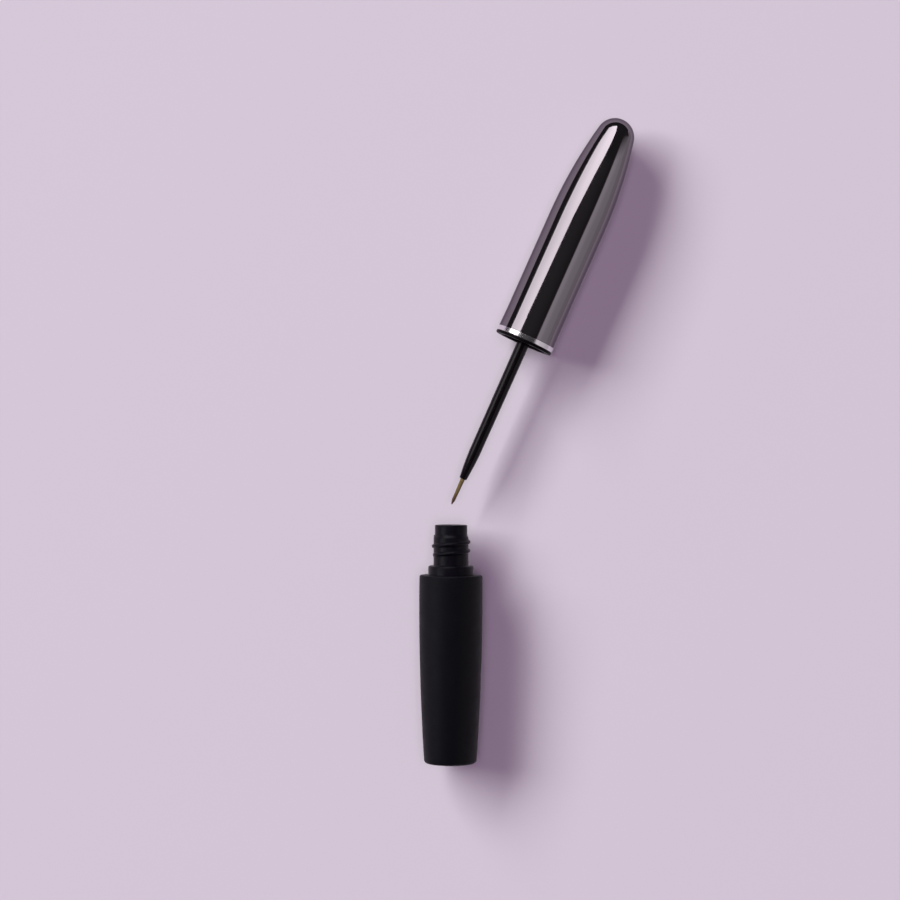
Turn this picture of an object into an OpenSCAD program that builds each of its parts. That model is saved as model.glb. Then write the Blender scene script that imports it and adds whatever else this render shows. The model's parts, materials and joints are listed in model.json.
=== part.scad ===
// Liquid eyeliner pen, open and laid flat: a bottle with a threaded neck, and the
// bullet cap with its wand and brush lying beyond the mouth at an angle.
// Each piece is drawn along its own +Z axis. The bottle is measured from its base and
// the applicator from the tip of its brush. Both are then laid down on Z = 0.

/* [Bottle sleeve] */
// Height of the sleeve from base to shoulder
sleeve_h = 51.3; // [48:0.1:58]
// Diameter of the sleeve at its base
base_d = 14.4; // [13.5:0.1:16]
// How far the belly stands out past the base, on the radius
belly_swell = 1.45; // [0.6:0.05:2]
// Distance of the belly below the shoulder
belly_drop = 6.5; // [5:0.1:14]
// How far the shoulder draws in from the belly, on the radius
shoulder_draw = 0.05; // [0.03:0.01:0.4]
// Wall of the sleeve
sleeve_wall = 1.2; // [0.9:0.05:1.3]
// Floor of the sleeve
sleeve_floor = 1.2; // [0.9:0.05:1.6]
// Round at the bottom edge
base_round = 0.9; // [0.6:0.05:1.6]
// Round at the shoulder edge
shoulder_round = 0.45; // [0.2:0.05:0.8]
// Depth of the thick mouth that grips the vial
mouth_depth = 6; // [5:0.1:8]
// Width of the ribs that centre the vial
sleeve_rib_w = 0.8; // [0.5:0.05:1.2]
// Number of ribs that centre the vial
sleeve_rib_count = 6; // [4:1:8]
// Room between the vial and the sleeve at the base
base_room = 0.5; // [0.4:0.05:0.8]

/* [Vial] */
// Wall of the vial
vial_wall = 0.8; // [0.6:0.05:1]
// Floor of the vial
vial_floor = 1; // [0.7:0.05:1.4]
// How far the collar stands out past the vial, on the radius
collar_step = 0.7; // [0.5:0.05:0.9]
// Height of the collar above the shoulder of the sleeve
collar_h = 2.6; // [1.8:0.1:3.2]
// Height of the neck above the collar
neck_h = 11.1; // [10.5:0.1:14]
// Diameter of the neck at the root of its thread
neck_d = 9.55; // [9:0.05:9.9]
// How far the land above the thread draws in, on the radius
land_draw = 0.35; // [0.15:0.05:0.45]
// Height of the land above the thread
land_h = 2.8; // [2:0.1:3.5]
// Height of the thread's ridge over its root
thread_h = 0.45; // [0.3:0.05:0.55]
// Wall of the neck at its root
neck_wall = 1.2; // [1:0.05:1.3]
// Height of the bead that snaps into the sleeve
snap_h = 0.8; // [0.6:0.05:1]
// How far that bead stands out
snap_out = 0.2; // [0.1:0.05:0.3]
// Length of the cone between the bore of the vial and that of the neck
bore_cone_h = 2.5; // [2:0.1:3]

/* [Rod wiper] */
// Length of the wiper from the mouth
wiper_h = 9.5; // [8:0.1:11]
// Thickness of its flange
wiper_flange_t = 0.6; // [0.4:0.05:0.8]
// How far its flange stands out past the tube, on the radius
wiper_flange_out = 0.45; // [0.35:0.05:0.5]
// Wall of its tube
wiper_wall = 0.5; // [0.4:0.05:0.6]
// Height of its funnel
funnel_h = 3.2; // [2.5:0.1:4]
// Height of its straight wiping lip
lip_h = 0.8; // [0.5:0.05:1.2]

/* [Contents] */
// Depth of the liquid's surface below the axis of the lying vial
level_drop = 2; // [1.9:0.05:2.4]
// Film of room round the liquid
film = 0.02; // [0.01:0.005:0.05]
// Diameter of the mixing ball
ball_d = 2; // [1.6:0.05:2.05]
// Room between the ball and what it runs along
ball_room = 0.06; // [0.03:0.01:0.08]
// Where the ball lies, counted from the end of its run
ball_start = 3; // [0.5:0.1:10]

/* [Cap] */
// Length of the cap from its rim to its nose
cap_len = 67; // [62:0.1:76]
// Length over which the cap draws in to its nose
ogive_len = 31.2; // [28:0.1:36]
// Diameter of the round nose
nose_d = 10.6; // [8:0.1:12]
// Wall of the metal shell
cap_wall = 0.75; // [0.6:0.05:1]
// How far the shell flares at its rim, on the radius
flare_out = 0.15; // [0.1:0.01:0.3]
// Height of the flare
flare_h = 6; // [2:0.1:9]
// Small round on the rim and on the flange
rim_edge = 0.2; // [0.1:0.05:0.25]

/* [Cap liner] */
// Wall of the liner outside the collar
liner_wall = 0.65; // [0.5:0.05:1]
// Thickness of the flange that closes the rim
flange_t = 0.75; // [0.6:0.05:1.2]
// Height of the grip ribs between the liner and the shell
liner_rib_h = 0.25; // [0.15:0.05:0.35]
// Width of the grip ribs
liner_rib_w = 0.9; // [0.6:0.05:1.2]
// Number of grip ribs
liner_rib_count = 12; // [8:1:16]
// Thickness of the web that holds the wand
web_t = 3; // [2:0.1:4]
// Height of the skirt above the web
skirt_h = 2.6; // [2:0.1:4]
// Wall of that skirt
skirt_wall = 1; // [0.7:0.05:1.3]
// Thickness of the sealing washer
washer_t = 1; // [0.7:0.05:1.4]

/* [Wand and brush] */
// Length of brush that shows beyond the wand
brush_len = 7.7; // [6:0.1:9]
// Diameter of the brush at the wand
brush_d = 1.24; // [1:0.02:1.3]
// Diameter of the wand at the brush
wand_tip_d = 2.05; // [1.9:0.05:2.3]
// Diameter of the wand where its tip has reached full width
wand_waist_d = 3.2; // [3:0.05:3.35]
// Diameter of the wand at the cap
wand_root_d = 3.45; // [3.4:0.05:3.9]
// Length of the tapered tip of the wand
wand_taper_len = 9; // [6:0.1:12]
// Diameter of the wand's flange inside the cap
wand_flange_d = 9.2; // [8:0.1:9.6]
// Thickness of that flange
wand_flange_t = 0.8; // [0.6:0.05:1.2]
// Diameter of the spigot that plugs into the liner
spigot_d = 4.6; // [4.2:0.05:5]
// How far the barb on the spigot stands out
barb_out = 0.25; // [0.15:0.05:0.35]
// Height of the barb
barb_h = 1.1; // [0.8:0.05:1.4]
// Depth of the hole that holds the tuft
tuft_hole_h = 4; // [3:0.1:5]
// Number of bristles
strand_count = 340; // [300:1:400]
// Thickness of one bristle
strand_d = 0.042; // [0.03:0.001:0.044]

/* [Fits] */
// Room between pieces that plug together
plug_fit = 0.05; // [0.03:0.01:0.08]
// Room between the collar and the liner, and between thread and liner
closure_fit = 0.12; // [0.08:0.01:0.2]
// Room between the wand and the lip of the wiper
wiper_fit = 0.05; // [0.03:0.01:0.08]
// Room between the rim of the closed cap and the shoulder
rim_gap = 0.1; // [0.05:0.01:0.2]
// Room between the brush of the closed pen and the floor of the vial
tip_room = 1; // [0.6:0.1:2]

/* [Lay of the open pen] */
// Distance from the mouth of the bottle to the tip of the brush
tip_gap = 5.5; // [3:0.1:12]
// Distance of that tip to the side of the bottle's axis
tip_side = 0.05; // [-2:0.05:2]
// Angle between the wand and the bottle
heading = 23.8; // [15:0.1:35]

/* [Hidden] */
$fn = 96;
overrun = 0.5;

// Sleeve, measured from its base
base_r = base_d / 2;
belly_r = base_r + belly_swell;
belly_z = sleeve_h - belly_drop;
shoulder_r = belly_r - shoulder_draw;
lower_arc_r = arc_radius(belly_z - base_round, belly_swell);
upper_arc_r = arc_radius(belly_drop - shoulder_round, shoulder_draw);
mouth_ring_z = sleeve_h - mouth_depth;

// Vial, measured from the base of the sleeve
vial_r = base_r - sleeve_wall - base_room;
vial_bore_r = vial_r - vial_wall;
collar_r = vial_r + collar_step;
collar_top = sleeve_h + collar_h;
neck_r = neck_d / 2;
land_r = neck_r - land_draw;
mouth_z = collar_top + neck_h;
neck_bore_r = neck_r - neck_wall;
vial_floor_z = sleeve_floor + vial_floor;
bore_cone_z = sleeve_h - collar_h;
snap_z = sleeve_h - mouth_depth / 2;
thread_r = neck_r + thread_h;

// Wiper, hung from the mouth
wiper_r = neck_bore_r - plug_fit;
wiper_flange_r = wiper_r + wiper_flange_out;
wiper_bore_r = wiper_r - wiper_wall;
orifice_r = wand_root_d / 2 + wiper_fit;
wiper_z = mouth_z - wiper_h;

// Ball and the straight run that it has along the lowest line of the vial
ball_r = ball_d / 2;
ball_axis = vial_bore_r - ball_room - ball_r;
ball_low_z = vial_floor_z + ball_room + ball_r;
ball_high_z = bore_cone_z - ball_room - ball_r;

// Applicator, measured from the tip of its brush
rim_t = sleeve_h + rim_gap - vial_floor_z - tip_room;
collar_bore_r = collar_r + closure_fit;
thread_bore_r = thread_r + closure_fit;
liner_r = collar_bore_r + liner_wall;
shell_bore_r = liner_r + liner_rib_h;
cap_r = shell_bore_r + cap_wall;
flare_r = cap_r + flare_out;
shell_t = rim_t + flange_t;
washer_z = rim_t + collar_h + neck_h - rim_gap + plug_fit;
washer_bore_r = wand_root_d / 2 + plug_fit;
wand_flange_z = washer_z + washer_t + plug_fit;
web_z = wand_flange_z + wand_flange_t;
web_top_z = web_z + web_t;
liner_top_z = web_top_z + skirt_h;
collar_bore_z = rim_t + collar_h + closure_fit;
nose_r = nose_d / 2;
nose_end = rim_t + cap_len;
nose_z = nose_end - nose_r;
ogive_z = nose_end - ogive_len;
ogive_run = ogive_len - nose_r;
ogive_arc_r = (pow(ogive_run, 2) + pow(cap_r, 2) - pow(nose_r, 2)) / (2 * (cap_r - nose_r));
ogive_end = atan2(ogive_run, ogive_arc_r - cap_r);

// Wand and tuft
wand_tip_r = wand_tip_d / 2;
wand_waist_r = wand_waist_d / 2;
wand_root_r = wand_root_d / 2;
spigot_r = spigot_d / 2;
waist_z = brush_len + wand_taper_len;
tuft_hole_r = brush_d / 2 + plug_fit;
tuft_hole_end = brush_len + tuft_hole_h;

// Where the two halves lie, so that the pen's box stands on its bottom centre
bottle_z = belly_r;
applicator_z = flare_r;
span_x = belly_r + tip_side + nose_z * sin(heading) + nose_r;
span_y = mouth_z + tip_gap + nose_z * cos(heading) + nose_r;
bottle_x = belly_r - span_x / 2;
bottle_y = -span_y / 2;

// Radius of the arc that rises by rise over a run
function arc_radius(run, rise) = (pow(run, 2) + pow(rise, 2)) / (2 * rise);

// Points on an arc from angle a to angle b
function arc(centre, r, a, b, steps) = [
    for (i = [0:steps])
        let (turn = a + (b - a) * i / steps)
        [centre[0] + r * cos(turn), centre[1] + r * sin(turn)]
];

// Radius of the sleeve at height z, taken in by inset
function sleeve_r(z, inset) =
    let (r = z < belly_z ? lower_arc_r : upper_arc_r)
    belly_r - r + sqrt(pow(r - inset, 2) - pow(z - belly_z, 2));

// Side of the sleeve from height a to height b
function sleeve_side(a, b, inset, steps = 20) = [
    for (i = [0:steps])
        let (z = a + (b - a) * i / steps)
        [sleeve_r(z, inset), z]
];

// The cap's side and nose from the end of its straight part, taken in by inset
function cap_curve(inset) = concat(
    arc([cap_r - ogive_arc_r, ogive_z], ogive_arc_r - inset, 0, ogive_end, 16),
    arc([0, nose_z], nose_r - inset, ogive_end, 90, 12)
);

// Radius of the wand's tip a share of the way up its taper
function taper_r(share) = wand_tip_r + (wand_waist_r - wand_tip_r) * sin(90 * share);

function reversed(list) = [for (i = [len(list) - 1:-1:0]) list[i]];

// Lays a piece of the bottle down, with its mouth toward +Y
module lay_bottle() {
    translate([bottle_x, bottle_y, bottle_z])
        rotate([-90, 0, 0])
            children();
}

// Lays a piece of the applicator down, with its brush toward the bottle's mouth
module lay_applicator() {
    translate([bottle_x + tip_side, bottle_y + mouth_z + tip_gap, applicator_z])
        rotate([-90, 0, -heading])
            children();
}

// Copies a piece evenly round the axis
module around(count) {
    for (i = [0:count - 1])
        rotate(i * 360 / count)
            children();
}

// Solid of the sleeve's outside
module sleeve_form() {
    lean = asin((belly_z - base_round) / lower_arc_r);
    rise = asin((belly_drop - shoulder_round) / upper_arc_r);
    base_centre = [base_r - base_round * cos(lean), base_round];
    top_centre = [shoulder_r - shoulder_round * cos(rise), sleeve_h - shoulder_round];
    rotate_extrude()
        polygon(concat(
            [[0, 0]],
            arc(base_centre, base_round, -90, -lean, 6),
            sleeve_side(base_round, sleeve_h - shoulder_round, 0, 24),
            arc(top_centre, shoulder_round, rise, 90, 4),
            [[0, sleeve_h]]
        ));
}

// Space inside the sleeve, up to its thick mouth
module sleeve_room(inset) {
    rotate_extrude()
        polygon(concat(
            [[0, sleeve_floor]],
            sleeve_side(sleeve_floor, mouth_ring_z, inset),
            [[0, mouth_ring_z]]
        ));
}

// Matte shell round the vial, with a closed floor, centring ribs and a thick mouth
module outer_sleeve() {
    mouth_r = collar_r + plug_fit;
    color("#1c1b1d")
        lay_bottle() {
            difference() {
                sleeve_form();
                sleeve_room(sleeve_wall);
                translate([0, 0, mouth_ring_z - overrun])
                    cylinder(r = mouth_r, h = mouth_depth + 2 * overrun);
                rotate_extrude()
                    translate([0, snap_z - snap_h / 2 - plug_fit])
                        square([mouth_r + snap_out, snap_h + 2 * plug_fit]);
            }
            intersection() {
                sleeve_room(sleeve_wall / 2);
                around(sleeve_rib_count)
                    translate([vial_r + plug_fit, -sleeve_rib_w / 2, sleeve_floor])
                        cube([belly_r, sleeve_rib_w, mouth_depth + sleeve_h / 3]);
            }
        }
}

// Inner bottle that holds the liquid, with its collar and neck
module vial() {
    edge = rim_edge;
    counterbore_r = wiper_flange_r + plug_fit;
    flange_seat = mouth_z - wiper_flange_t;
    outside = [
        [0, sleeve_floor],
        [vial_r - vial_wall, sleeve_floor],
        [vial_r, sleeve_floor + vial_wall],
        [vial_r, mouth_ring_z - collar_step],
        [collar_r, mouth_ring_z],
        [collar_r, snap_z - snap_h / 2],
        [collar_r + snap_out, snap_z],
        [collar_r, snap_z + snap_h / 2],
        [collar_r, collar_top - edge],
        [collar_r - edge, collar_top],
        [neck_r, collar_top],
        [neck_r, mouth_z - land_h - land_draw],
        [land_r, mouth_z - land_h],
        [land_r, mouth_z - edge],
        [land_r - edge, mouth_z]
    ];
    inside = [
        [counterbore_r, mouth_z],
        [counterbore_r, flange_seat],
        [neck_bore_r, flange_seat],
        [neck_bore_r, bore_cone_z + bore_cone_h],
        [vial_bore_r, bore_cone_z],
        [vial_bore_r, vial_floor_z],
        [0, vial_floor_z]
    ];
    color("#151416")
        lay_bottle()
            rotate_extrude()
                polygon(concat(outside, inside));
}

// Soft plug in the neck, whose lip strips the wand
module rod_wiper() {
    color("#2a2a2c")
        lay_bottle()
            rotate_extrude()
                polygon([
                    [orifice_r, wiper_z],
                    [orifice_r + wiper_wall, wiper_z],
                    [wiper_r, wiper_z + funnel_h],
                    [wiper_r, mouth_z - wiper_flange_t],
                    [wiper_flange_r, mouth_z - wiper_flange_t],
                    [wiper_flange_r, mouth_z],
                    [wiper_bore_r, mouth_z],
                    [wiper_bore_r, wiper_z + funnel_h + wiper_wall],
                    [orifice_r, wiper_z + lip_h]
                ]);
}

// Liquid along the low side of the lying vial, open where the ball rolls
module eyeliner_fluid() {
    fluid_r = vial_bore_r - film;
    fluid_z = vial_floor_z + film;
    fluid_h = bore_cone_z - fluid_z;
    color("#0b0a0c")
        lay_bottle()
            difference() {
                intersection() {
                    translate([0, 0, fluid_z])
                        cylinder(r = fluid_r, h = fluid_h);
                    translate([-vial_r, level_drop, 0])
                        cube([2 * vial_r, vial_r, mouth_z]);
                }
                translate([0, ball_axis, vial_floor_z - overrun])
                    cylinder(r = ball_r + ball_room, h = bore_cone_z);
            }
}

// Steel ball that stirs the liquid when the pen is shaken
module mixing_ball() {
    color("#b9bcc0")
        lay_bottle()
            translate([0, ball_axis, ball_low_z + ball_start])
                sphere(r = ball_r);
}

// Metal bullet with a small flare at its rim
module cap_shell() {
    color("#6b666c")
        lay_applicator()
            rotate_extrude()
                polygon(concat(
                    [
                        [shell_bore_r, shell_t],
                        [flare_r - rim_edge, shell_t],
                        [flare_r, shell_t + rim_edge],
                        [cap_r, shell_t + flare_h]
                    ],
                    cap_curve(0),
                    reversed(cap_curve(cap_wall))
                ));
}

// Plastic inner cap: flange, socket for the collar and thread, and web for the wand
module cap_liner() {
    hub_r = spigot_r + plug_fit;
    skirt_r = liner_r - skirt_wall;
    rib_h = liner_top_z - shell_t - liner_rib_w;
    color("#171618")
        lay_applicator() {
            rotate_extrude()
                polygon([
                    [collar_bore_r, rim_t],
                    [flare_r - rim_edge, rim_t],
                    [flare_r, rim_t + rim_edge],
                    [flare_r, shell_t - rim_edge],
                    [flare_r - rim_edge, shell_t],
                    [liner_r, shell_t],
                    [liner_r, liner_top_z],
                    [skirt_r, liner_top_z],
                    [skirt_r, web_top_z],
                    [hub_r, web_top_z],
                    [hub_r, web_z],
                    [thread_bore_r, web_z],
                    [thread_bore_r, collar_bore_z],
                    [collar_bore_r, collar_bore_z]
                ]);
            around(liner_rib_count)
                translate([liner_r - liner_rib_h, -liner_rib_w / 2, shell_t])
                    cube([2 * liner_rib_h - plug_fit, liner_rib_w, rib_h]);
        }
}

// Foam ring that closes on the mouth of the neck
module seal_washer() {
    color("#dcdad6")
        lay_applicator()
            translate([0, 0, washer_z])
                difference() {
                    cylinder(r = thread_bore_r - closure_fit, h = washer_t);
                    translate([0, 0, -overrun])
                        cylinder(r = washer_bore_r, h = washer_t + 2 * overrun);
                }
}

// Moulded rod with a tapered tip, a flange and a barbed spigot
module wand() {
    taper = [for (share = [0:1 / 12:1]) [taper_r(share), brush_len + wand_taper_len * share]];
    color("#121113")
        lay_applicator()
            rotate_extrude()
                polygon(concat(
                    [[tuft_hole_r, brush_len]],
                    taper,
                    [
                        [wand_waist_r, waist_z],
                        [wand_root_r, rim_t],
                        [wand_root_r, wand_flange_z],
                        [wand_flange_d / 2, wand_flange_z],
                        [wand_flange_d / 2, web_z],
                        [spigot_r, web_z],
                        [spigot_r, web_top_z + plug_fit],
                        [spigot_r + barb_out, web_top_z + plug_fit],
                        [spigot_r - barb_out, web_top_z + plug_fit + barb_h],
                        [0, web_top_z + plug_fit + barb_h],
                        [0, tuft_hole_end],
                        [tuft_hole_r, tuft_hole_end]
                    ]
                ));
}

// Bristles spread evenly over the tuft, none crossing another: every bristle keeps its
// share of the tuft's width, and the outer ones end sooner, which rounds the brush's tip
golden_turn = 137.508;
body_share = 0.5;
tip_width_share = 0.62;
end_share = 0.2;

// Share of the full spread at a height above the wand's tip, as a share of the brush
function spread(share) = 1 - (1 - tip_width_share) * share;

// A bristle's place as a share of the tuft's width
function strand_place(i) = sqrt((i + 1 / 2) / strand_count);

// Three corners of a bristle at a height above the wand's tip
function strand_ring(i, share, height) =
    let (reach = (brush_d - strand_d) / 2 * strand_place(i) * spread(share))
    let (middle = [reach * cos(i * golden_turn), reach * sin(i * golden_turn)])
    [for (side = [0:2])
        let (turn = i * golden_turn + side * 120)
        [
            middle[0] + strand_d / 2 * spread(share) * cos(turn),
            middle[1] + strand_d / 2 * spread(share) * sin(turn),
            brush_len - height
        ]
    ];

// Point where a bristle ends
function strand_point(i) =
    let (share = 1 - end_share * pow(strand_place(i), 1.6))
    let (reach = (brush_d - strand_d) / 2 * strand_place(i) * spread(share))
    [reach * cos(i * golden_turn), reach * sin(i * golden_turn), brush_len * (1 - share)];

function strand_points(i, root) = concat(
    strand_ring(i, 0, -root),
    strand_ring(i, body_share, brush_len * body_share),
    [strand_point(i)]
);

// Faces of a bristle whose first corner has number n
function strand_faces(n) = concat(
    [[n, n + 2, n + 1]],
    [for (side = [0:2]) [n + side, n + 3 + (side + 1) % 3, n + 3 + side]],
    [for (side = [0:2]) [n + side, n + (side + 1) % 3, n + 3 + (side + 1) % 3]],
    [for (side = [0:2]) [n + 3 + side, n + 3 + (side + 1) % 3, n + 6]]
);

// Brush of fine bristles, bonded at the root in the hole of the wand
module bristle_tuft() {
    bond_z = brush_len + tuft_hole_h / 4;
    root = bond_z - brush_len + strand_d;
    color("#5b4a2e")
        lay_applicator() {
            translate([0, 0, bond_z])
                cylinder(d = brush_d, h = tuft_hole_end - bond_z, $fn = 32);
            polyhedron(
                points = [for (i = [0:strand_count - 1]) each strand_points(i, root)],
                faces = [for (i = [0:strand_count - 1]) each strand_faces(7 * i)]
            );
        }
}

outer_sleeve();
vial();
rod_wiper();
eyeliner_fluid();
mixing_ball();
cap_shell();
cap_liner();
seal_washer();
wand();
bristle_tuft();
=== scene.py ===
import json
import math
import random

import bmesh
import bpy
from mathutils import Matrix, Vector


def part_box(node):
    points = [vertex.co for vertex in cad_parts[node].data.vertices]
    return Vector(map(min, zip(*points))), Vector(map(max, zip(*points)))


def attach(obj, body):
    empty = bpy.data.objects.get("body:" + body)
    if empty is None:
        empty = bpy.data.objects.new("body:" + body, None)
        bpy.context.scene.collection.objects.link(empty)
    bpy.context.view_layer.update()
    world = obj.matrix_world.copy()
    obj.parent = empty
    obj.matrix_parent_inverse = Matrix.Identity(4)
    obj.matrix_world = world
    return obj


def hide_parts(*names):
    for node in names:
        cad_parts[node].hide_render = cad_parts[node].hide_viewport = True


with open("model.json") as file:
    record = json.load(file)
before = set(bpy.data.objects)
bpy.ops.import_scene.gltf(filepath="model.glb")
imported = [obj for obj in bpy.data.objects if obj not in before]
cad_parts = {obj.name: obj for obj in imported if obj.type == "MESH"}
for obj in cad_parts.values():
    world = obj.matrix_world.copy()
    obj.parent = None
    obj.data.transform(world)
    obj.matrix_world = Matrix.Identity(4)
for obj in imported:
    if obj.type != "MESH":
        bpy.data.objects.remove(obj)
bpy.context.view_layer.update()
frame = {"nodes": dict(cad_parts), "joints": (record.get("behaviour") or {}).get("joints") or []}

MM = 0.001
FULL_TURN = 2 * math.pi

# Sizes of the bottle in millimetres, measured along its axis from the base
BASE_R = 7.2
BELLY_R = 8.65
SHOULDER_R = 8.6
SLEEVE_H = 51.3
BELLY_Z = 44.8
SLEEVE_WALL = 1.2
BASE_ROUND = 0.9
SHOULDER_ROUND = 0.45
MOUTH_DEPTH = 6.0
VIAL_R = 5.5
VIAL_BORE_R = 4.7
VIAL_FLOOR_Z = 2.2
COLLAR_R = 6.2
COLLAR_TOP = 53.9
NECK_R = 4.775
LAND_R = 4.425
LAND_H = 2.8
MOUTH_Z = 65.0
NECK_BORE_R = 3.575
BORE_CONE_Z = 48.7
PITCH = 2.4
THREAD_H = 0.5
WIPER_R = 3.525
WIPER_BORE_R = 3.025
WIPER_FLANGE_R = 3.975
WIPER_FLANGE_T = 0.6
WIPER_Z = 55.5
ORIFICE_R = 1.775
NECK_THREAD_Z = 56.68
THREAD_TURNS = 2.05

# Sizes of the applicator in millimetres, measured along its axis from the brush's tip
BRUSH_LEN = 7.7
BRUSH_R = 0.62
WAND_TIP_R = 1.025
WAND_WAIST_R = 1.6
WAND_ROOT_R = 1.725
WAND_TAPER = 9.0
RIM_Z = 48.2
SHELL_Z = 48.95
WASHER_Z = 61.85
WASHER_T = 1.0
WASHER_R = 5.22
WASHER_HOLE_R = 1.775
WAND_FLANGE_R = 4.6
WAND_HOLE_R = 0.67
SPIGOT_R = 2.3
BARB_R = 2.55
WEB_Z = 63.7
WEB_TOP = 66.7
LINER_TOP = 69.3
CAP_R = 7.97
FLARE_R = 8.12
FLARE_H = 6.0
LIP_H = 1.35
CAP_WALL = 0.75
OGIVE_Z = 84.0
NOSE_R = 5.3
NOSE_END = 115.2
SOCKET_R = 5.345
COLLAR_BORE_R = 6.32
COLLAR_BORE_Z = 50.92
LINER_R = 6.97
LINER_WALL = 1.0
SOCKET_THREAD_Z = 53.1
SOCKET_THREAD_H = 0.36

# Where the two halves lie, read from the frame
sleeve_low, sleeve_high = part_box("outer_sleeve")
turn_joint = next(j for j in frame["joints"] if j["name"] == "applicator_turn")
brush_tip = Vector(turn_joint["pos_m"])
cap_way = Vector(turn_joint["axis"])
heading = math.atan2(cap_way.x, cap_way.y)
ALONG_Y = Matrix.Rotation(-math.pi / 2, 4, "X")
BOTTLE = Matrix.Translation((
    (sleeve_low.x + sleeve_high.x) / 2,
    sleeve_low.y,
    (sleeve_low.z + sleeve_high.z) / 2,
)) @ ALONG_Y
APPLICATOR = Matrix.Translation(brush_tip) @ Matrix.Rotation(-heading, 4, "Z") @ ALONG_Y


def arc(centre, radius, start, end, steps):
    """Points of an arc as an outline's entries, with no rounding of their own."""
    turns = [start + (end - start) * i / steps for i in range(steps + 1)]
    return [
        (centre[0] + radius * math.cos(t), centre[1] + radius * math.sin(t), 0)
        for t in turns
    ]


def mesh_object(name, bm, place, sharp=32):
    """Puts a finished bmesh in its place and shades it smooth but for its sharp edges."""
    mesh = bpy.data.meshes.new(name)
    bm.to_mesh(mesh)
    bm.free()
    mesh.transform(place)
    mesh.shade_smooth()
    mesh.set_sharp_from_angle(angle=math.radians(sharp))
    obj = bpy.data.objects.new(name, mesh)
    bpy.context.scene.collection.objects.link(obj)
    return obj


def lathe(name, outline, place, closed=True, steps=128, sharp=32):
    """Turns an outline of (radius, height, rounding) in millimetres about the axis."""
    bm = bmesh.new()
    verts = [bm.verts.new((r * MM, 0, z * MM)) for r, z, _ in outline]
    pairs = list(zip(verts, verts[1:]))
    if closed:
        pairs.append((verts[-1], verts[0]))
    for a, b in pairs:
        bm.edges.new((a, b))
    for vert, (_, _, rounding) in zip(verts, outline):
        if rounding:
            bmesh.ops.bevel(
                bm, geom=[vert], offset=rounding * MM, offset_type="OFFSET",
                segments=5, profile=0.5, affect="VERTICES", material=-1,
            )
    bmesh.ops.spin(
        bm, geom=bm.verts[:] + bm.edges[:], cent=(0, 0, 0), axis=(0, 0, 1),
        angle=FULL_TURN, steps=steps, use_merge=True,
    )
    bmesh.ops.remove_doubles(bm, verts=bm.verts, dist=0.0005 * MM)
    bmesh.ops.recalc_face_normals(bm, faces=bm.faces)
    return mesh_object(name, bm, place, sharp)


def finish_piece(obj, body, slot, material, *nodes):
    """Gives a piece its material and its body, and hides the nodes that it stands for. The slot is
    not used.
    """
    obj.data.materials.append(material)
    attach(obj, body)
    if nodes:
        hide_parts(*nodes)
    return obj


# Materials

class Nodes:
    """A material's node tree, with short calls for the nodes used here."""

    def __init__(self, name):
        self.material = bpy.data.materials.new(name)
        self.material.use_nodes = True
        self.tree = self.material.node_tree
        self.shader = self.tree.nodes["Principled BSDF"]
        self.coords = self.tree.nodes.new("ShaderNodeTexCoord")

    def link(self, a, b):
        self.tree.links.new(a, b)

    def noise(self, scale, detail=3.0, stretch=(1, 1, 1)):
        mapping = self.tree.nodes.new("ShaderNodeMapping")
        mapping.inputs["Scale"].default_value = stretch
        self.link(self.coords.outputs["Object"], mapping.inputs["Vector"])
        texture = self.tree.nodes.new("ShaderNodeTexNoise")
        texture.inputs["Scale"].default_value = scale
        texture.inputs["Detail"].default_value = detail
        self.link(mapping.outputs["Vector"], texture.inputs["Vector"])
        return texture.outputs["Fac"]

    def ramp(self, fac, low, high, start=0.35, end=0.65):
        ramp = self.tree.nodes.new("ShaderNodeMapRange")
        ramp.inputs["From Min"].default_value = start
        ramp.inputs["From Max"].default_value = end
        ramp.inputs["To Min"].default_value = low
        ramp.inputs["To Max"].default_value = high
        self.link(fac, ramp.inputs["Value"])
        return ramp.outputs["Result"]

    def colours(self, fac, low, high):
        mix = self.tree.nodes.new("ShaderNodeMix")
        mix.data_type = "RGBA"
        mix.inputs["A"].default_value = (*low, 1)
        mix.inputs["B"].default_value = (*high, 1)
        self.link(fac, mix.inputs["Factor"])
        return mix.outputs["Result"]

    def bump(self, fac, depth, strength=1.0):
        bump = self.tree.nodes.new("ShaderNodeBump")
        bump.inputs["Distance"].default_value = depth
        bump.inputs["Strength"].default_value = strength
        self.link(fac, bump.inputs["Height"])
        self.link(bump.outputs["Normal"], self.shader.inputs["Normal"])

    def set(self, name, value):
        self.shader.inputs[name].default_value = value


def moulded(name, low, high, roughness, grain, depth, specular=0.5, spread=0.06):
    """Moulded or lacquered plastic: slight mottling, uneven gloss and a fine grain."""
    m = Nodes(name)
    m.link(m.colours(m.noise(180), low, high), m.shader.inputs["Base Color"])
    gloss = m.ramp(m.noise(420), roughness - spread, roughness + spread)
    m.link(gloss, m.shader.inputs["Roughness"])
    m.set("Specular IOR Level", specular)
    m.bump(m.noise(grain, 2.0), depth)
    return m.material


def mirror_metal(name, low, high, edge, soft, rough):
    """Mirror-bright metal, its gloss slightly uneven."""
    m = Nodes(name)
    m.link(m.colours(m.noise(90), low, high), m.shader.inputs["Base Color"])
    m.set("Metallic", 1.0)
    m.set("Specular Tint", (*edge, 1))
    m.link(m.ramp(m.noise(600), soft, rough), m.shader.inputs["Roughness"])
    m.bump(m.noise(60, 1.0), 0.000002)
    return m.material


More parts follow.
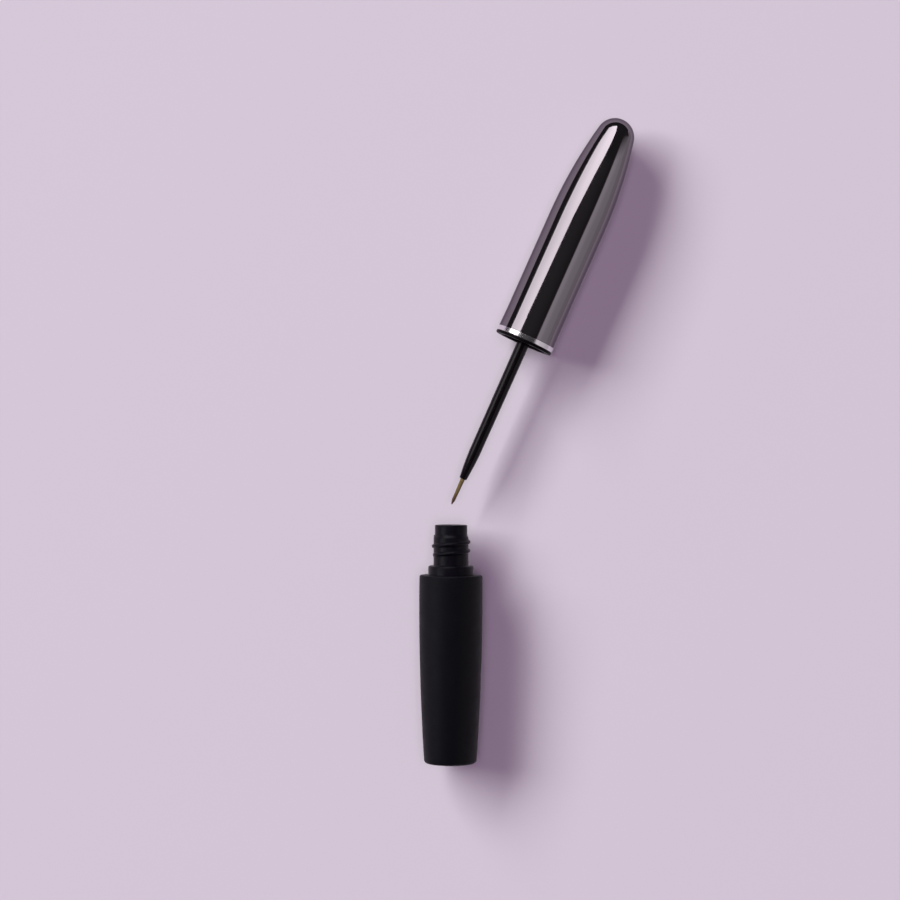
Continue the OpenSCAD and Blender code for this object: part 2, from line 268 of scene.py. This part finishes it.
def bristle():
    """Olive brown filament, darker toward the tip that has been dipped."""
    m = Nodes("bristle")
    along = m.tree.nodes.new("ShaderNodeVectorMath")
    along.operation = "DOT_PRODUCT"
    along.inputs[1].default_value = cap_way
    m.link(m.coords.outputs["Object"], along.inputs[0])
    tip = brush_tip.dot(cap_way)
    dipped = m.ramp(along.outputs["Value"], 1, 0, tip + 0.8 * MM, tip + 3.6 * MM)
    olive = m.colours(m.noise(2600, 2.0), (0.145, 0.1, 0.036), (0.24, 0.17, 0.068))
    dark_red = m.colours(m.noise(2600, 2.0), (0.08, 0.036, 0.028), (0.13, 0.06, 0.046))
    shade = m.tree.nodes.new("ShaderNodeMix")
    shade.data_type = "RGBA"
    m.link(dipped, shade.inputs["Factor"])
    m.link(olive, shade.inputs["A"])
    m.link(dark_red, shade.inputs["B"])
    m.link(shade.outputs["Result"], m.shader.inputs["Base Color"])
    m.set("Roughness", 0.42)
    m.bump(m.noise(5000, 2.0), 0.000004)
    return m.material


def steel():
    """Polished ball steel."""
    m = Nodes("ball_steel")
    tone = m.colours(m.noise(900), (0.6, 0.61, 0.63), (0.68, 0.69, 0.71))
    m.link(tone, m.shader.inputs["Base Color"])
    m.set("Metallic", 1.0)
    m.link(m.ramp(m.noise(1500), 0.08, 0.16), m.shader.inputs["Roughness"])
    return m.material


SOFT_TOUCH = moulded(
    "soft_touch_black", (0.0016, 0.0015, 0.0028), (0.0024, 0.0022, 0.0038),
    roughness=0.55, grain=2600, depth=0.00001, specular=0.155, spread=0.03,
)
NECK_BLACK = moulded(
    "neck_black", (0.002, 0.0017, 0.0034), (0.003, 0.0026, 0.0046),
    roughness=0.38, grain=1500, depth=0.000006, specular=0.14,
)
LINER_BLACK = moulded(
    "liner_black", (0.002, 0.0016, 0.0022), (0.003, 0.0025, 0.0034),
    roughness=0.42, grain=1500, depth=0.000006, specular=0.05,
)
WAND_BLACK = moulded(
    "wand_black", (0.0022, 0.0012, 0.002), (0.0034, 0.002, 0.0032),
    roughness=0.2, grain=700, depth=0.000003, specular=0.2,
)
WIPER_SOFT = moulded(
    "wiper_soft", (0.02, 0.0175, 0.021), (0.03, 0.0265, 0.031),
    roughness=0.5, grain=1200, depth=0.000006,
)
WASHER_FOAM = moulded(
    "washer_foam", (0.55, 0.54, 0.52), (0.68, 0.67, 0.65),
    roughness=0.85, grain=3200, depth=0.00003, specular=0.3,
)
FLUID = moulded(
    "fluid_black", (0.003, 0.003, 0.0035), (0.005, 0.005, 0.0055),
    roughness=0.12, grain=300, depth=0.000002,
)
GUNMETAL = mirror_metal(
    "gunmetal", (0.235, 0.212, 0.232), (0.26, 0.236, 0.256),
    edge=(0.42, 0.38, 0.42), soft=0.045, rough=0.085,
)
# Painted highlight: the lip is the cap's own gunmetal, made far paler here so that it shows the
# bright ring of light that its rounded edge catches
LIP_PAINTED_HIGHLIGHT = mirror_metal(
    "lip_painted_highlight", (0.8, 0.77, 0.8), (0.86, 0.83, 0.86),
    edge=(1, 1, 1), soft=0.17, rough=0.23,
)
BRISTLE = bristle()
BALL_STEEL = steel()


# Bottle

def sleeve_side(inset, low, high, steps):
    """The sleeve's swelling side between two heights, taken in by inset."""
    entries = []
    for i in range(steps + 1):
        z = low + (high - low) * i / steps
        run = (BELLY_Z - BASE_ROUND) if z < BELLY_Z else (SLEEVE_H - BELLY_Z - SHOULDER_ROUND)
        rise = (BELLY_R - BASE_R) if z < BELLY_Z else (BELLY_R - SHOULDER_R)
        radius = (run ** 2 + rise ** 2) / (2 * rise)
        half_chord = math.sqrt((radius - inset) ** 2 - (z - BELLY_Z) ** 2)
        entries.append((BELLY_R - radius + half_chord, z, 0))
    return entries


def outer_sleeve():
    mouth_r = COLLAR_R + 0.05
    ring_z = SLEEVE_H - MOUTH_DEPTH
    shoulder_z = SLEEVE_H - SHOULDER_ROUND
    shoulder_centre = (SHOULDER_R - SHOULDER_ROUND, shoulder_z)
    lean = math.radians(4)
    outline = [(0, 0, 0)]
    outline += arc((BASE_R - BASE_ROUND, BASE_ROUND), BASE_ROUND, -math.pi / 2, -lean, 8)
    outline += sleeve_side(0, BASE_ROUND, shoulder_z, 56)[1:]
    outline += arc(shoulder_centre, SHOULDER_ROUND, 0, math.pi / 2, 6)[1:]
    outline += [(mouth_r, SLEEVE_H, 0.12), (mouth_r, ring_z, 0)]
    outline += sleeve_side(SLEEVE_WALL, SLEEVE_WALL, ring_z, 20)[::-1]
    outline += [(0, SLEEVE_WALL, 0)]
    piece = lathe("sleeve_shell", outline, BOTTLE, closed=False, steps=160)
    return finish_piece(piece, "bottle", "sleeve_black", SOFT_TOUCH, "outer_sleeve")


def helix(name, root_r, crest_r, start_z, start_turn, place):
    """A thread's ridge, drawn out along its screw line and faded into the wall at both ends."""
    per_turn = 96
    steps = round(THREAD_TURNS * per_turn)
    outward = 1 if crest_r > root_r else -1
    foot_r = root_r - 0.08 * outward
    under_r = crest_r - 0.14 * outward
    foot_half, under_half, crest_half = 0.7, 0.38, 0.2
    section = [
        (foot_r, -foot_half), (under_r, -under_half), (crest_r, -crest_half),
        (crest_r, crest_half), (under_r, under_half), (foot_r, foot_half),
    ]
    bm = bmesh.new()
    corners = [bm.verts.new((r * MM, 0, (start_z + z) * MM)) for r, z in section]
    face = bm.faces.new(corners)
    bmesh.ops.rotate(bm, verts=corners, cent=(0, 0, 0), matrix=Matrix.Rotation(start_turn, 3, "Z"))
    bmesh.ops.spin(
        bm, geom=[face] + face.edges[:] + corners, cent=(0, 0, 0), axis=(0, 0, 1),
        dvec=(0, 0, PITCH * MM / per_turn), angle=FULL_TURN * THREAD_TURNS, steps=steps,
        use_merge=False,
    )
    fade = per_turn / 5
    least_height = 0.03
    for number, vert in enumerate(bm.verts):
        ring = number // len(section)
        height = max(least_height, min(1, ring / fade, (steps - ring) / fade))
        reach = vert.co.xy.length
        sunk = foot_r * MM + (reach - foot_r * MM) * math.sin(height * math.pi / 2)
        vert.co.xy *= sunk / reach
    bmesh.ops.recalc_face_normals(bm, faces=bm.faces)
    if bm.calc_volume(signed=True) < 0:
        bmesh.ops.reverse_faces(bm, faces=bm.faces)
    return mesh_object(name, bm, place, 50)


def vial():
    outline = [
        (0, SLEEVE_WALL, 0),
        (VIAL_R, SLEEVE_WALL, 0.8),
        (VIAL_R, 44.5, 0),
        (COLLAR_R, 45.3, 0),
        (COLLAR_R, COLLAR_TOP, 0.5),
        (NECK_R + 0.15, COLLAR_TOP, 0),
        (NECK_R, COLLAR_TOP + 0.15, 0),
        (NECK_R, MOUTH_Z - LAND_H - 0.6, 0.3),
        (LAND_R, MOUTH_Z - LAND_H, 0.3),
        (LAND_R, MOUTH_Z, 0.25),
        (WIPER_FLANGE_R + 0.05, MOUTH_Z, 0.05),
        (WIPER_FLANGE_R + 0.05, MOUTH_Z - WIPER_FLANGE_T, 0),
        (NECK_BORE_R, MOUTH_Z - WIPER_FLANGE_T, 0),
        (NECK_BORE_R, BORE_CONE_Z + 2.5, 0),
        (VIAL_BORE_R, BORE_CONE_Z, 0),
        (VIAL_BORE_R, VIAL_FLOOR_Z, 0.4),
        (0, VIAL_FLOOR_Z, 0),
    ]
    piece = lathe("vial_with_neck", outline, BOTTLE, closed=False, steps=128)
    finish_piece(piece, "bottle", "vial_black", NECK_BLACK, "vial")
    start_turn = math.pi * 0.9
    ridge = helix("neck_thread", NECK_R, NECK_R + THREAD_H, NECK_THREAD_Z, start_turn, BOTTLE)
    finish_piece(ridge, "bottle", "vial_black", NECK_BLACK)


def rod_wiper():
    outline = [
        (ORIFICE_R, WIPER_Z, 0.08),
        (ORIFICE_R + 0.5, WIPER_Z, 0.08),
        (WIPER_R, WIPER_Z + 3.2, 0.3),
        (WIPER_R, MOUTH_Z - WIPER_FLANGE_T, 0),
        (WIPER_FLANGE_R, MOUTH_Z - WIPER_FLANGE_T, 0),
        (WIPER_FLANGE_R, MOUTH_Z, 0.12),
        (WIPER_BORE_R, MOUTH_Z, 0.35),
        (WIPER_BORE_R, WIPER_Z + 3.7, 0.4),
        (ORIFICE_R, WIPER_Z + 0.8, 0.1),
    ]
    piece = lathe("wiper_plug", outline, BOTTLE, steps=96)
    finish_piece(piece, "bottle", "wiper_soft", WIPER_SOFT, "rod_wiper")


# Applicator

def cap_curve(inset):
    """The cap's side and nose from the end of its straight part, taken in by inset."""
    nose_z = NOSE_END - NOSE_R
    run = nose_z - OGIVE_Z
    radius = (run ** 2 + CAP_R ** 2 - NOSE_R ** 2) / (2 * (CAP_R - NOSE_R))
    end = math.atan2(run, radius - CAP_R)
    side = arc((CAP_R - radius, OGIVE_Z), radius - inset, 0, end, 60)
    nose = arc((0, nose_z), NOSE_R - inset, end, math.pi / 2, 36)
    return side + nose[1:]


def cap_shell():
    lip_top = SHELL_Z + LIP_H
    lip_r = FLARE_R - (FLARE_R - CAP_R) * LIP_H / FLARE_H
    outline = [
        (CAP_R - CAP_WALL, lip_top, 0),
        (lip_r, lip_top, 0),
        (CAP_R, SHELL_Z + FLARE_H, 0.25),
    ]
    outline += cap_curve(0) + cap_curve(CAP_WALL)[::-1]
    piece = lathe("bullet_shell", outline, APPLICATOR, steps=224, sharp=40)
    finish_piece(piece, "applicator", "cap_gunmetal", GUNMETAL, "cap_shell")
    # The lip is the same metal as the shell, but its paler copy is a painted highlight of the
    # light along the rim
    outline = [
        (CAP_R - CAP_WALL, SHELL_Z, 0),
        (FLARE_R, SHELL_Z, 0.25),
        (lip_r, lip_top, 0),
        (CAP_R - CAP_WALL, lip_top, 0),
    ]
    piece = lathe("shell_lip", outline, APPLICATOR, steps=224, sharp=40)
    finish_piece(piece, "applicator", "cap_gunmetal", LIP_PAINTED_HIGHLIGHT)


def cap_liner():
    outline = [
        (COLLAR_BORE_R, RIM_Z, 0.15),
        (FLARE_R, RIM_Z, 0.35),
        (FLARE_R, SHELL_Z, 0.12),
        (LINER_R, SHELL_Z, 0),
        (LINER_R, LINER_TOP, 0.3),
        (LINER_R - LINER_WALL, LINER_TOP, 0.2),
        (LINER_R - LINER_WALL, WEB_TOP, 0.3),
        (SPIGOT_R + 0.05, WEB_TOP, 0),
        (SPIGOT_R + 0.05, WEB_Z, 0),
        (SOCKET_R, WEB_Z, 0),
        (SOCKET_R, COLLAR_BORE_Z, 0.12),
        (COLLAR_BORE_R, COLLAR_BORE_Z, 0.12),
    ]
    piece = lathe("liner_cup", outline, APPLICATOR, steps=128)
    finish_piece(piece, "applicator", "liner_black", LINER_BLACK, "cap_liner")
    crest_r = SOCKET_R - SOCKET_THREAD_H
    ridge = helix("socket_thread", SOCKET_R, crest_r, SOCKET_THREAD_Z, 0, APPLICATOR)
    finish_piece(ridge, "applicator", "liner_black", LINER_BLACK)


def seal_washer():
    outline = [
        (WASHER_HOLE_R, WASHER_Z, 0.1),
        (WASHER_R, WASHER_Z, 0.15),
        (WASHER_R, WASHER_Z + WASHER_T, 0.15),
        (WASHER_HOLE_R, WASHER_Z + WASHER_T, 0.1),
    ]
    piece = lathe("foam_washer", outline, APPLICATOR, steps=96)
    finish_piece(piece, "seal_washer", "washer_foam", WASHER_FOAM, "seal_washer")


def wand():
    flange_z = WASHER_Z + WASHER_T + 0.05
    barb_z = WEB_TOP + 0.05
    spigot_end = WEB_TOP + 1.15
    hole_end = BRUSH_LEN + 4
    outline = [(WAND_HOLE_R, BRUSH_LEN, 0.05), (WAND_TIP_R, BRUSH_LEN, 0.25)]
    steps = 30
    for i in range(1, steps + 1):
        share = i / steps
        swell = (WAND_WAIST_R - WAND_TIP_R) * math.sin(share * math.pi / 2)
        outline.append((WAND_TIP_R + swell, BRUSH_LEN + WAND_TAPER * share, 0))
    outline += [
        (WAND_ROOT_R, RIM_Z, 0),
        (WAND_ROOT_R, flange_z, 0),
        (WAND_FLANGE_R, flange_z, 0.1),
        (WAND_FLANGE_R, WEB_Z, 0),
        (SPIGOT_R, WEB_Z, 0),
        (SPIGOT_R, barb_z, 0),
        (BARB_R, barb_z, 0),
        (BARB_R - 0.5, spigot_end, 0.1),
        (0, spigot_end, 0),
        (0, hole_end, 0),
        (WAND_HOLE_R, hole_end, 0),
    ]
    piece = lathe("wand_rod", outline, APPLICATOR, steps=96)
    finish_piece(piece, "applicator", "wand_black", WAND_BLACK, "wand")


def straight_hair(sides, joints):
    """A hair one unit long and one unit in radius, cut across at each joint."""
    bm = bmesh.new()
    bmesh.ops.create_cone(
        bm, cap_ends=True, segments=sides, radius1=1, radius2=1, depth=1,
        matrix=Matrix.Translation((0, 0, 0.5)),
    )
    sides_of_tube = [e for e in bm.edges if abs(e.verts[0].co.z - e.verts[1].co.z) > 0.5]
    bmesh.ops.subdivide_edges(bm, edges=sides_of_tube, cuts=joints - 1)
    mesh = bpy.data.meshes.new("hair")
    bm.to_mesh(mesh)
    bm.free()
    return mesh


def bristle_tuft():
    """Fine hairs spread over the tuft, drawn in toward its round tip, the outer ones shorter."""
    hairs = 520
    hair_r = 0.019
    root = BRUSH_LEN + 1.2
    golden_turn = math.radians(137.508)
    draw = random.Random(11)
    hair = straight_hair(5, 8)
    bm = bmesh.new()
    for i in range(hairs):
        first = len(bm.verts)
        bm.from_mesh(hair)
        bm.verts.ensure_lookup_table()
        place = math.sqrt((i + 0.5) / hairs)
        turn = i * golden_turn
        end = 1 - 0.16 * place ** 2 - draw.uniform(0, 0.05)
        for vert in bm.verts[first:]:
            height = root - vert.co.z * (root - BRUSH_LEN * (1 - end))
            share = max(0, 1 - height / BRUSH_LEN)
            spread = 1 - 0.3 * share
            reach = place * (BRUSH_R - hair_r) * spread
            point_r = hair_r * (1 - 0.75 * max(0, vert.co.z - 0.6) / 0.4)
            vert.co = Vector((
                reach * math.cos(turn) + vert.co.x * point_r,
                reach * math.sin(turn) + vert.co.y * point_r,
                height,
            )) * MM
    bpy.data.meshes.remove(hair)
    # Hanging the hairs from their root turned them inside out
    bmesh.ops.reverse_faces(bm, faces=bm.faces)
    bmesh.ops.create_cone(
        bm, cap_ends=True, segments=32, radius1=BRUSH_R * MM, radius2=BRUSH_R * MM, depth=3 * MM,
        matrix=Matrix.Translation((0, 0, (BRUSH_LEN + 2.5) * MM)),
    )
    piece = mesh_object("bristles", bm, APPLICATOR, 60)
    finish_piece(piece, "applicator", "bristle_brown", BRISTLE, "bristle_tuft")


# Stage: floor, lights and camera

FLOOR_COLOUR = (0.658, 0.565, 0.672)
SHADE_COLOUR = (0.97, 0.787, 1.0)
CAMERA_PX = 246.0 / 900
CAMERA_CENTRE = Vector((-20.908, -2.714)) * MM
CAMERA_ROLL = math.radians(0.2)
CAMERA_DISTANCE = 600 * MM
AXIS_HEIGHT = 8.38 * MM


def floor():
    """Pale paper that goes over into the pale room round it. Reflections see a part of it
    without shadow."""
    bm = bmesh.new()
    bmesh.ops.create_grid(bm, x_segments=1, y_segments=1, size=6)
    material = bpy.data.materials.new("floor_paper")
    material.use_nodes = True
    tree = material.node_tree
    paper = tree.nodes["Principled BSDF"]
    paper.inputs["Base Color"].default_value = (*FLOOR_COLOUR, 1)
    paper.inputs["Roughness"].default_value = 0.95
    paper.inputs["Specular IOR Level"].default_value = 0
    glow = tree.nodes.new("ShaderNodeEmission")
    glow.inputs["Color"].default_value = (*FLOOR_COLOUR, 1)
    path = tree.nodes.new("ShaderNodeLightPath")
    coords = tree.nodes.new("ShaderNodeTexCoord")
    reach = tree.nodes.new("ShaderNodeVectorMath")
    reach.operation = "LENGTH"
    tree.links.new(coords.outputs["Object"], reach.inputs[0])
    far = tree.nodes.new("ShaderNodeMapRange")
    far.interpolation_type = "SMOOTHSTEP"
    far.inputs["From Min"].default_value = 0.25
    far.inputs["From Max"].default_value = 1.0
    tree.links.new(reach.outputs["Value"], far.inputs["Value"])
    seen = tree.nodes.new("ShaderNodeMath")
    seen.operation = "MULTIPLY"
    tree.links.new(path.outputs["Is Camera Ray"], seen.inputs[0])
    tree.links.new(far.outputs["Result"], seen.inputs[1])
    part = tree.nodes.new("ShaderNodeMath")
    part.operation = "MULTIPLY_ADD"
    part.inputs[1].default_value = 0.6
    tree.links.new(path.outputs["Is Glossy Ray"], part.inputs[0])
    tree.links.new(seen.outputs["Value"], part.inputs[2])
    mix = tree.nodes.new("ShaderNodeMixShader")
    tree.links.new(part.outputs["Value"], mix.inputs["Fac"])
    tree.links.new(paper.outputs["BSDF"], mix.inputs[1])
    tree.links.new(glow.outputs["Emission"], mix.inputs[2])
    tree.links.new(mix.outputs["Shader"], tree.nodes["Material Output"].inputs["Surface"])
    obj = mesh_object("floor", bm, Matrix.Identity(4))
    obj.data.materials.append(material)


def lamp(name, zenith, bearing, distance, width, length, level, colour):
    """An area lamp square to the pen, its length along the cap. It lights a matt floor to
    level, as a share of white, and is kept out of reflections, which the card and walls fill."""
    aim = Vector((
        math.sin(zenith) * math.cos(bearing),
        math.sin(zenith) * math.sin(bearing),
        math.cos(zenith),
    ))
    data = bpy.data.lights.new(name, "AREA")
    data.shape = "RECTANGLE"
    data.size = width
    data.size_y = length
    data.color = colour
    data.energy = level * (math.pi * distance) ** 2 / math.cos(zenith)
    obj = bpy.data.objects.new(name, data)
    along = Vector((math.sin(heading), math.cos(heading), 0))
    across = along.cross(aim).normalized()
    along = aim.cross(across)
    turned = Matrix((across, along, aim)).transposed().to_4x4()
    obj.matrix_world = Matrix.Translation(aim * distance) @ turned
    obj.visible_camera = False
    obj.visible_glossy = False
    bpy.context.scene.collection.objects.link(obj)


CARD_TILT = math.radians(47)
CARD_DISTANCE = 250
CARD_OUTLINES = [
    [
        (-15, -118), (60, -116), (140, -104), (230, -108), (252, -74), (300, -46), (350, -30),
        (450, 20), (600, 85), (554, 112), (429, 146), (360, 165), (321, 178), (306, 200),
        (290, 210), (245, 191), (205, 158), (160, 134), (115, 107), (105, 97), (90, 88),
        (60, 58), (-15, 50),
    ],
    [(-220, -120), (-80, -118), (-80, 45), (-220, 32)],
]


def white_card():
    """The bright card that the cap mirrors as its white stripe, and a second one for the
    bottle, so that the wand's end stays dark between them. Corners are millimetres along
    the cap from the brush's tip and across the card, upward from its middle."""
    bm = bmesh.new()
    outward = Vector((-math.sin(CARD_TILT), 0, math.cos(CARD_TILT)))
    upward = Vector((math.cos(CARD_TILT), 0, math.sin(CARD_TILT)))
    for outline in CARD_OUTLINES:
        bm.faces.new([
            bm.verts.new((outward * CARD_DISTANCE + upward * up + Vector((0, along, 0))) * MM)
            for along, up in outline
        ])
    material = bpy.data.materials.new("card_glow")
    material.use_nodes = True
    tree = material.node_tree
    tree.nodes.clear()
    new, link = tree.nodes.new, tree.links.new
    coords = new("ShaderNodeTexCoord")
    reach = new("ShaderNodeVectorMath")
    reach.operation = "DOT_PRODUCT"
    reach.inputs[1].default_value = cap_way
    link(coords.outputs["Object"], reach.inputs[0])
    level = new("ShaderNodeMapRange")
    level.inputs["From Min"].default_value = 0.09
    level.inputs["From Max"].default_value = 0.3
    level.inputs["To Min"].default_value = 2.6
    level.inputs["To Max"].default_value = 3.3
    link(reach.outputs["Value"], level.inputs["Value"])
    height = new("ShaderNodeSeparateXYZ")
    link(coords.outputs["Object"], height.inputs["Vector"])
    fall = new("ShaderNodeMapRange")
    fall.inputs["From Min"].default_value = 0.13
    fall.inputs["From Max"].default_value = 0.22
    fall.inputs["To Min"].default_value = 0.86
    fall.inputs["To Max"].default_value = 1.08
    link(height.outputs["Z"], fall.inputs["Value"])
    glowing = new("ShaderNodeMath")
    glowing.operation = "MULTIPLY"
    link(level.outputs["Result"], glowing.inputs[0])
    link(fall.outputs["Result"], glowing.inputs[1])
    glow = new("ShaderNodeEmission")
    glow.inputs["Color"].default_value = (1, 0.965, 0.99, 1)
    link(glowing.outputs["Value"], glow.inputs["Strength"])
    link(glow.outputs["Emission"], new("ShaderNodeOutputMaterial").inputs["Surface"])
    place = Matrix.Translation(brush_tip) @ Matrix.Rotation(-heading, 4, "Z")
    obj = mesh_object("white_card", bm, place)
    obj.data.materials.append(material)
    obj.visible_camera = False
    obj.visible_diffuse = False
    obj.visible_shadow = False


def low_board(name, corners, top, level):
    """A low board that only reflections see, standing on the floor beside the cap. Its
    corners are millimetres across and along the cap from the brush's tip."""
    bm = bmesh.new()
    feet = [bm.verts.new((across * MM, along * MM, 0)) for across, along in corners]
    heads = [bm.verts.new((across * MM, along * MM, top * MM)) for across, along in corners]
    for i in range(len(corners) - 1):
        bm.faces.new((feet[i], feet[i + 1], heads[i + 1], heads[i]))
    place = Matrix.Translation((brush_tip.x, brush_tip.y, 0)) @ Matrix.Rotation(-heading, 4, "Z")
    obj = mesh_object(name, bm, place)
    material = bpy.data.materials.new(name + "_tone")
    material.use_nodes = True
    tree = material.node_tree
    tree.nodes.clear()
    glow = tree.nodes.new("ShaderNodeEmission")
    glow.inputs["Color"].default_value = (level, level * 0.9, level, 1)
    output = tree.nodes.new("ShaderNodeOutputMaterial")
    tree.links.new(glow.outputs["Emission"], output.inputs["Surface"])
    obj.data.materials.append(material)
    obj.visible_camera = False
    obj.visible_diffuse = False
    obj.visible_shadow = False


def studio():
    """The air round the set: pale to the camera, dim to matt surfaces, and to gloss a dark
    ceiling with a grey wall on the right, which ends where the nose looks ahead."""
    world = bpy.data.worlds.new("studio")
    bpy.context.scene.world = world
    world.use_nodes = True
    tree = world.node_tree
    tree.nodes.clear()
    new, link = tree.nodes.new, tree.links.new
    coords = new("ShaderNodeTexCoord")

    def toward(direction):
        dot = new("ShaderNodeVectorMath")
        dot.operation = "DOT_PRODUCT"
        dot.inputs[1].default_value = direction
        link(coords.outputs["Generated"], dot.inputs[0])
        return dot.outputs["Value"]

    walls = new("ShaderNodeValToRGB")
    link(toward((math.cos(heading), -math.sin(heading), 0)), walls.inputs["Fac"])
    stops = [
        (0.0, 0.06), (0.3, 0.05), (0.62, 0.032), (0.67, 0.72),
        (0.8, 0.68), (0.88, 0.56), (1.0, 0.51),
    ]
    for _ in range(len(stops) - 2):
        walls.color_ramp.elements.new(0.5)
    for element, (place, level) in zip(walls.color_ramp.elements, stops):
        element.position = place
        element.color = (level, level * 0.94, level, 1)
    ahead = new("ShaderNodeMapRange")
    ahead.inputs["From Min"].default_value = 0.4
    ahead.inputs["From Max"].default_value = 0.5
    ahead.inputs["To Min"].default_value = 1
    ahead.inputs["To Max"].default_value = 0.06
    link(toward(cap_way), ahead.inputs["Value"])
    dimmed = new("ShaderNodeVectorMath")
    dimmed.operation = "SCALE"
    link(walls.outputs["Color"], dimmed.inputs[0])
    link(ahead.outputs["Result"], dimmed.inputs["Scale"])
    dusk = new("ShaderNodeVectorMath")
    dusk.operation = "MAXIMUM"
    dusk.inputs[1].default_value = (0.035, 0.033, 0.035)
    link(dimmed.outputs["Vector"], dusk.inputs[0])
    path = new("ShaderNodeLightPath")
    gloss = new("ShaderNodeMix")
    gloss.data_type = "RGBA"
    gloss.inputs["A"].default_value = (*(0.06 * share for share in SHADE_COLOUR), 1)
    link(path.outputs["Is Glossy Ray"], gloss.inputs["Factor"])
    link(dusk.outputs["Vector"], gloss.inputs["B"])
    seen = new("ShaderNodeMix")
    seen.data_type = "RGBA"
    seen.inputs["B"].default_value = (*FLOOR_COLOUR, 1)
    link(path.outputs["Is Camera Ray"], seen.inputs["Factor"])
    link(gloss.outputs["Result"], seen.inputs["A"])
    background = new("ShaderNodeBackground")
    link(seen.outputs["Result"], background.inputs["Color"])
    link(background.outputs["Background"], new("ShaderNodeOutputWorld").inputs["Surface"])


def camera():
    data = bpy.data.cameras.new("overhead")
    data.sensor_width = 36
    data.lens = 36 * CAMERA_DISTANCE / (900 * CAMERA_PX * MM)
    data.clip_start = 0.01
    data.clip_end = 20
    obj = bpy.data.objects.new("overhead", data)
    obj.location = (CAMERA_CENTRE.x, CAMERA_CENTRE.y, AXIS_HEIGHT + CAMERA_DISTANCE)
    obj.rotation_euler.z = CAMERA_ROLL
    bpy.context.scene.collection.objects.link(obj)
    bpy.context.scene.camera = obj


outer_sleeve()
vial()
rod_wiper()
cap_shell()
cap_liner()
seal_washer()
wand()
bristle_tuft()
for node_name, finish in (("eyeliner_fluid", FLUID), ("mixing_ball", BALL_STEEL)):
    slots = frame["nodes"][node_name].data.materials
    slots.clear()
    slots.append(finish)

floor()
lamp("key", math.radians(58.3), math.radians(144), 10, 3.9, 9, 0.83, (0.915, 1, 0.902))
lamp("overhead_fill", 0, 0, 3, 1.4, 1.4, 0.309, SHADE_COLOUR)
white_card()
low_board("dark_board", [(-110, -60), (-110, 190), (-60, 240), (60, 240), (85, 215)], 34, 0.035)
low_board("grey_board", [(38, 20), (38, 150)], 15, 0.43)
studio()
camera()
bpy.context.scene.view_settings.view_transform = "Standard"
